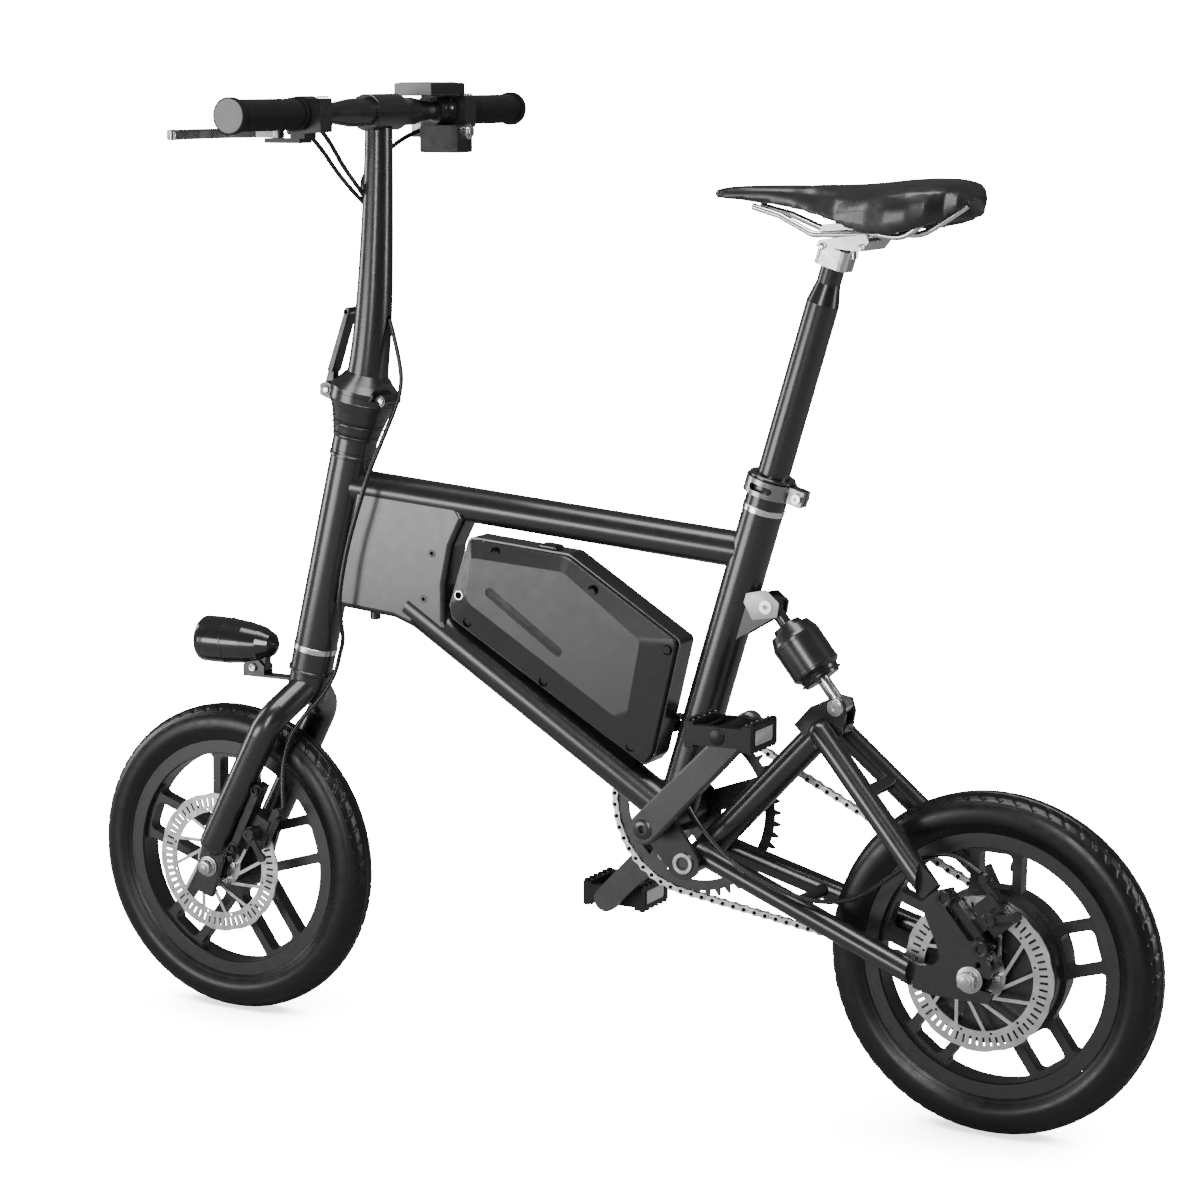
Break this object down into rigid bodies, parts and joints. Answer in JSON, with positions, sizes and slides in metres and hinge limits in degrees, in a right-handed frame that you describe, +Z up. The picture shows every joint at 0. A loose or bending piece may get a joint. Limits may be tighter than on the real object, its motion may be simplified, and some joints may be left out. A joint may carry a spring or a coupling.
{
  "type": "folding bicycle",
  "caption": "Small-wheeled folding bicycle with a hub motor, battery in the frame, rear shock, disc brakes and folding handlebar post.",
  "frame": {"origin": "on the ground, midway between the two wheels' contact points, in the plane of the wheels", "axes": "+Z up; -X towards the front wheel, +X towards the rear wheel; -Y to the rider's left, the side with the brake discs; +Y to the chain side"},
  "size_m": [1.28, 0.571, 1.051],
  "materials": {
    "tyre_rubber": "matt black rubber with a moulded tread",
    "rim_black": "satin black coating on cast alloy",
    "motor_black": "satin black coating",
    "rotor_steel": "ground stainless steel",
    "steel_bright": "bright zinc-plated or stainless steel",
    "steel_dark": "plain oiled steel",
    "frame_black": "satin black powder coat",
    "cell_wrap": "shrink-wrapped cells",
    "alloy_grey": "grey anodised machined alloy",
    "alloy_bright": "bright polished alloy",
    "battery_plastic": "textured black plastic",
    "cover_plastic": "fine-textured dark grey plastic",
    "lamp_plastic": "gloss black plastic",
    "lamp_lens": "clear ribbed plastic over a bright reflector",
    "grip_rubber": "soft black rubber",
    "grey_plastic": "grey plastic",
    "cable_plastic": "black plastic cable housing",
    "saddle_cover": "black synthetic leather over foam",
    "pedal_plastic": "moulded black plastic",
    "chain_steel": "nickel-plated steel",
    "ring_grey": "dark grey plated steel"
  },
  "bodies": {
    "frame": {"head_tube": "frame_black", "headset_bearings": "steel_dark", "bottom_bracket_shell": "frame_black", "seat_tube": "frame_black", "top_tube": "frame_black", "down_tube": "frame_black", "head_gusset": "frame_black", "frame_brackets": "frame_black", "seat_clamp": "alloy_bright", "frame_fasteners": "steel_bright", "battery_case": "battery_plastic", "battery_covers": "cover_plastic", "battery_cells": "cell_wrap", "chain": "chain_steel", "rear_brake_cable": "cable_plastic"},
    "steering": {"fork": "frame_black", "stem_base": "frame_black", "front_axle": "steel_bright", "front_caliper": "alloy_grey", "headlight_bracket": "steel_dark", "front_brake_cable": "cable_plastic"},
    "headlight": {"headlight_shell": "lamp_plastic", "headlight_lens": "lamp_lens"},
    "front_wheel": {"front_tyre": "tyre_rubber", "front_rim": "rim_black", "front_rotor": "rotor_steel"},
    "front_brake_arm": {"front_caliper_arm": "steel_dark"},
    "stem": {"stem_post": "frame_black", "handlebar": "frame_black", "grips": "grip_rubber", "control_box": "lamp_plastic", "brake_perches": "alloy_grey", "bar_cables": "cable_plastic"},
    "latch": {"stem_latch": "alloy_bright"},
    "lever_left": {"brake_lever_left": "alloy_grey"},
    "lever_right": {"brake_lever_right": "alloy_grey"},
    "button": {"throttle_button": "alloy_bright"},
    "swingarm": {"swingarm_tube": "frame_black", "lower_stays": "frame_black", "upper_stays": "frame_black", "dropout_plates": "frame_black", "swingarm_fasteners": "steel_bright", "rear_axle": "steel_bright", "motor_stator": "steel_dark", "rear_caliper": "alloy_grey"},
    "rear_wheel": {"rear_tyre": "tyre_rubber", "rear_rim": "rim_black", "motor_shell": "motor_black", "rear_rotor": "rotor_steel"},
    "freewheel": {"freewheel_sprocket": "chain_steel"},
    "rear_brake_arm": {"rear_caliper_arm": "steel_dark"},
    "shock_cylinder": {"shock_cylinder": "frame_black"},
    "shock_rod": {"shock_rod": "steel_bright"},
    "crank": {"crankset": "alloy_grey", "chainring": "ring_grey"},
    "pedal_left": {"pedal_left": "pedal_plastic"},
    "pedal_right": {"pedal_right": "pedal_plastic"},
    "seat": {"seat_post": "frame_black", "saddle_frame": "alloy_bright", "saddle": "saddle_cover"}
  },
  "joints": [
    {"name": "steer", "type": "hinge", "parent": "frame", "child": "steering", "pos_m": [-0.3595, 0, 0.3961], "axis": [0.2312, 0, 0.9729], "range_deg": [-60, 60], "deforming": ["front_brake_cable"]},
    {"name": "front_wheel_spin", "type": "hinge", "parent": "steering", "child": "front_wheel", "pos_m": [-0.463, 0, 0.177], "axis": [0, 1, 0], "continuous": true},
    {"name": "headlight_tilt", "type": "hinge", "parent": "steering", "child": "headlight", "pos_m": [-0.43, 0, 0.401], "axis": [0, 1, 0], "range_deg": [-20, 20]},
    {"name": "front_brake_arm_turn", "type": "hinge", "parent": "steering", "child": "front_brake_arm", "pos_m": [-0.404, -0.036, 0.221], "axis": [0, 1, 0], "range_deg": [-25, 0]},
    {"name": "stem_fold", "type": "hinge", "parent": "steering", "child": "stem", "pos_m": [-0.2528, 0, 0.71096], "axis": [0, 1, 0], "range_deg": [0, 95]},
    {"name": "stem_latch_open", "type": "hinge", "parent": "steering", "child": "latch", "pos_m": [-0.3265, 0, 0.72], "axis": [0, -1, 0], "range_deg": [0, 110]},
    {"name": "left_brake", "type": "hinge", "parent": "stem", "child": "lever_left", "pos_m": [-0.292, -0.146, 1.001], "axis": [0, 0, 1], "range_deg": [0, 18], "stiffness_Nm_per_rad": 1, "springref_deg": -5.73},
    {"name": "right_brake", "type": "hinge", "parent": "stem", "child": "lever_right", "pos_m": [-0.292, 0.146, 1.001], "axis": [0, 0, -1], "range_deg": [0, 18], "stiffness_Nm_per_rad": 1, "springref_deg": -5.73},
    {"name": "throttle_press", "type": "slide", "parent": "stem", "child": "button", "axis": [-1, 0, 0], "range_m": [0, 0.002], "stiffness_N_per_m": 600, "springref_m": -0.001},
    {"name": "swingarm_pivot", "type": "hinge", "parent": "frame", "child": "swingarm", "pos_m": [0.1323, 0, 0.25], "axis": [0, -1, 0], "range_deg": [0, 4], "stiffness_Nm_per_rad": 3000, "springref_deg": -1.15, "deforming": ["chain", "rear_brake_cable"]},
    {"name": "shock_top_pivot", "type": "hinge", "parent": "frame", "child": "shock_cylinder", "pos_m": [0.2114, 0, 0.5231], "axis": [0, -1, 0], "range_deg": [-3, 1]},
    {"name": "shock_stroke", "type": "slide", "parent": "shock_cylinder", "child": "shock_rod", "axis": [0.6233, 0, -0.782], "range_m": [-0.018, 0.001]},
    {"name": "rear_wheel_spin", "type": "hinge", "parent": "swingarm", "child": "rear_wheel", "pos_m": [0.463, 0, 0.177], "axis": [0, 1, 0], "continuous": true},
    {"name": "freewheel_spin", "type": "hinge", "parent": "swingarm", "child": "freewheel", "pos_m": [0.463, 0, 0.177], "axis": [0, 1, 0], "continuous": true},
    {"name": "rear_brake_arm_turn", "type": "hinge", "parent": "swingarm", "child": "rear_brake_arm", "pos_m": [0.483, -0.045, 0.241], "axis": [0, 1, 0], "range_deg": [-25, 0]},
    {"name": "crank_spin", "type": "hinge", "parent": "frame", "child": "crank", "pos_m": [0.1003, 0, 0.289], "axis": [0, 1, 0], "continuous": true},
    {"name": "left_pedal_spin", "type": "hinge", "parent": "crank", "child": "pedal_left", "pos_m": [0.21839, 0, 0.41129], "axis": [0, 1, 0], "continuous": true},
    {"name": "right_pedal_spin", "type": "hinge", "parent": "crank", "child": "pedal_right", "pos_m": [-0.01779, 0, 0.16671], "axis": [0, 1, 0], "continuous": true},
    {"name": "seat_height", "type": "slide", "parent": "frame", "child": "seat", "axis": [0.2874, 0, 0.9578], "range_m": [-0.12, 0.02]}
  ],
  "couplings": [
    {"joint": "shock_top_pivot", "follows": "swingarm_pivot", "ratio": -0.39922},
    {"joint": "shock_stroke", "follows": "swingarm_pivot", "m_per_rad": -0.23043},
    {"joint": "freewheel_spin", "follows": "crank_spin", "ratio": 2.5263},
    {"joint": "front_brake_arm_turn", "follows": "left_brake", "ratio": -1.35},
    {"joint": "rear_brake_arm_turn", "follows": "right_brake", "ratio": -1.35}
  ]
}
